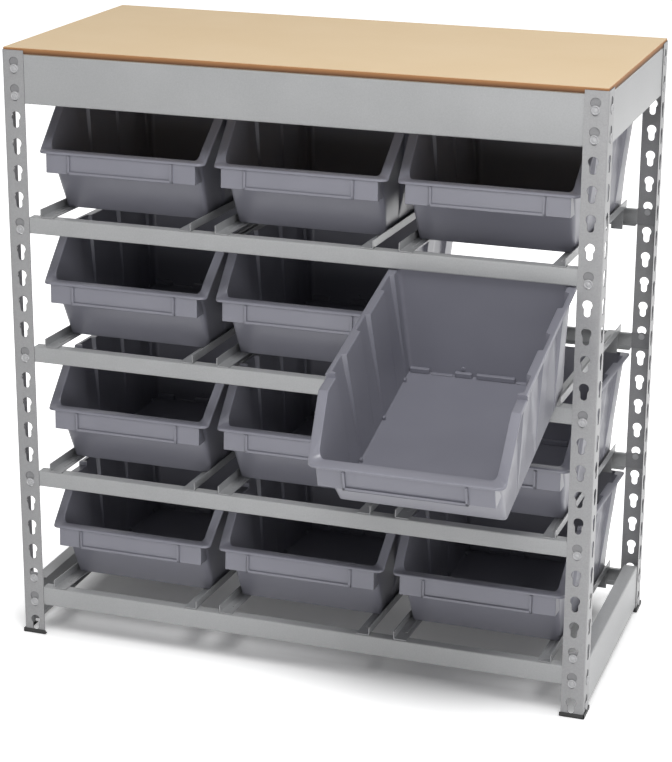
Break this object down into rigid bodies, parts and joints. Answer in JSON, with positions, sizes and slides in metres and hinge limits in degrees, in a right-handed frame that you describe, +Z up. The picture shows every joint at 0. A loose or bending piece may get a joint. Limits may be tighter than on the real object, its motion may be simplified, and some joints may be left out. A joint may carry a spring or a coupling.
{
  "type": "parts bin cabinet",
  "caption": "Boltless steel rack with a wood-fibre worktop and open hopper-front plastic bins on sloping rails; each bin slides out at the front.",
  "frame": {"origin": "on the floor, under the middle of the whole outline with the drawn bin's reach to the front counted in, which is 166.3 mm in front of the middle of the rack's footprint", "axes": "+Z up, bins open and are drawn out towards -Y, +X to the right of someone facing the bins"},
  "size_m": [0.8536, 0.7362, 0.88],
  "materials": {
    "post_steel": "grey powder coat, satin",
    "beam_steel": "grey powder coat, satin",
    "rail_steel": "grey powder coat, satin",
    "rivet_steel": "grey powder coat over a rivet head",
    "worktop_board": "bare fibreboard",
    "foot_plastic": "black moulded plastic",
    "bin_plastic": "mid grey moulded plastic"
  },
  "bodies": {
    "rack": {"post_front_left": "post_steel", "foot_front_left": "foot_plastic", "post_back_left": "post_steel", "foot_back_left": "foot_plastic", "post_front_right": "post_steel", "foot_front_right": "foot_plastic", "post_back_right": "post_steel", "foot_back_right": "foot_plastic", "beam_top_front": "beam_steel", "beam_top_back": "beam_steel", "beam_top_left": "beam_steel", "beam_top_right": "beam_steel", "worktop": "worktop_board", "beam_row1_front": "beam_steel", "beam_row1_back": "beam_steel", "beam_row2_front": "beam_steel", "beam_row2_back": "beam_steel", "beam_row3_front": "beam_steel", "beam_row3_back": "beam_steel", "beam_bottom_front": "beam_steel", "beam_bottom_back": "beam_steel", "beam_bottom_left": "beam_steel", "beam_bottom_right": "beam_steel", "rail_r1_c1_left": "rail_steel", "rail_r1_c1_right": "rail_steel", "rail_r1_c2_left": "rail_steel", "rail_r1_c2_right": "rail_steel", "rail_r1_c3_left": "rail_steel", "rail_r1_c3_right": "rail_steel", "rail_r2_c1_left": "rail_steel", "rail_r2_c1_right": "rail_steel", "rail_r2_c2_left": "rail_steel", "rail_r2_c2_right": "rail_steel", "rail_r2_c3_left": "rail_steel", "rail_r2_c3_right": "rail_steel", "rail_r3_c1_left": "rail_steel", "rail_r3_c1_right": "rail_steel", "rail_r3_c2_left": "rail_steel", "rail_r3_c2_right": "rail_steel", "rail_r3_c3_left": "rail_steel", "rail_r3_c3_right": "rail_steel", "rail_r4_c1_left": "rail_steel", "rail_r4_c1_right": "rail_steel", "rail_r4_c2_left": "rail_steel", "rail_r4_c2_right": "rail_steel", "rail_r4_c3_left": "rail_steel", "rail_r4_c3_right": "rail_steel", "rivets": "rivet_steel"},
    "bin_r1_c1": {"bin_r1_c1": "bin_plastic"},
    "bin_r1_c2": {"bin_r1_c2": "bin_plastic"},
    "bin_r1_c3": {"bin_r1_c3": "bin_plastic"},
    "bin_r2_c1": {"bin_r2_c1": "bin_plastic"},
    "bin_r2_c2": {"bin_r2_c2": "bin_plastic"},
    "bin_r2_c3": {"bin_r2_c3": "bin_plastic"},
    "bin_r3_c1": {"bin_r3_c1": "bin_plastic"},
    "bin_r3_c2": {"bin_r3_c2": "bin_plastic"},
    "bin_r3_c3": {"bin_r3_c3": "bin_plastic"},
    "bin_r4_c1": {"bin_r4_c1": "bin_plastic"},
    "bin_r4_c2": {"bin_r4_c2": "bin_plastic"},
    "bin_r4_c3": {"bin_r4_c3": "bin_plastic"}
  },
  "joints": [
    {"name": "bin_r1_c1_slide", "type": "slide", "parent": "rack", "child": "bin_r1_c1", "axis": [0, -0.9994, 0.0338], "range_m": [0, 0.3]},
    {"name": "bin_r1_c2_slide", "type": "slide", "parent": "rack", "child": "bin_r1_c2", "axis": [0, -0.9994, 0.0338], "range_m": [0, 0.3]},
    {"name": "bin_r1_c3_slide", "type": "slide", "parent": "rack", "child": "bin_r1_c3", "axis": [0, -0.9994, 0.0338], "range_m": [0, 0.3]},
    {"name": "bin_r2_c1_slide", "type": "slide", "parent": "rack", "child": "bin_r2_c1", "axis": [0, -0.9994, 0.0338], "range_m": [0, 0.3]},
    {"name": "bin_r2_c2_slide", "type": "slide", "parent": "rack", "child": "bin_r2_c2", "axis": [0, -0.9994, 0.0338], "range_m": [0, 0.3]},
    {"name": "bin_r2_c3_tip", "type": "hinge", "parent": "rack", "child": "bin_r2_c3", "pos_m": [0.263, -0.03115, 0.45206], "axis": [-1, 0, 0], "range_deg": [0, 14.4]},
    {"name": "bin_r3_c1_slide", "type": "slide", "parent": "rack", "child": "bin_r3_c1", "axis": [0, -0.9994, 0.0338], "range_m": [0, 0.3]},
    {"name": "bin_r3_c2_slide", "type": "slide", "parent": "rack", "child": "bin_r3_c2", "axis": [0, -0.9994, 0.0338], "range_m": [0, 0.3]},
    {"name": "bin_r3_c3_slide", "type": "slide", "parent": "rack", "child": "bin_r3_c3", "axis": [0, -0.9994, 0.0338], "range_m": [0, 0.3]},
    {"name": "bin_r4_c1_slide", "type": "slide", "parent": "rack", "child": "bin_r4_c1", "axis": [0, -0.9987, 0.0501], "range_m": [0, 0.3]},
    {"name": "bin_r4_c2_slide", "type": "slide", "parent": "rack", "child": "bin_r4_c2", "axis": [0, -0.9987, 0.0501], "range_m": [0, 0.3]},
    {"name": "bin_r4_c3_slide", "type": "slide", "parent": "rack", "child": "bin_r4_c3", "axis": [0, -0.9987, 0.0501], "range_m": [0, 0.3]}
  ]
}
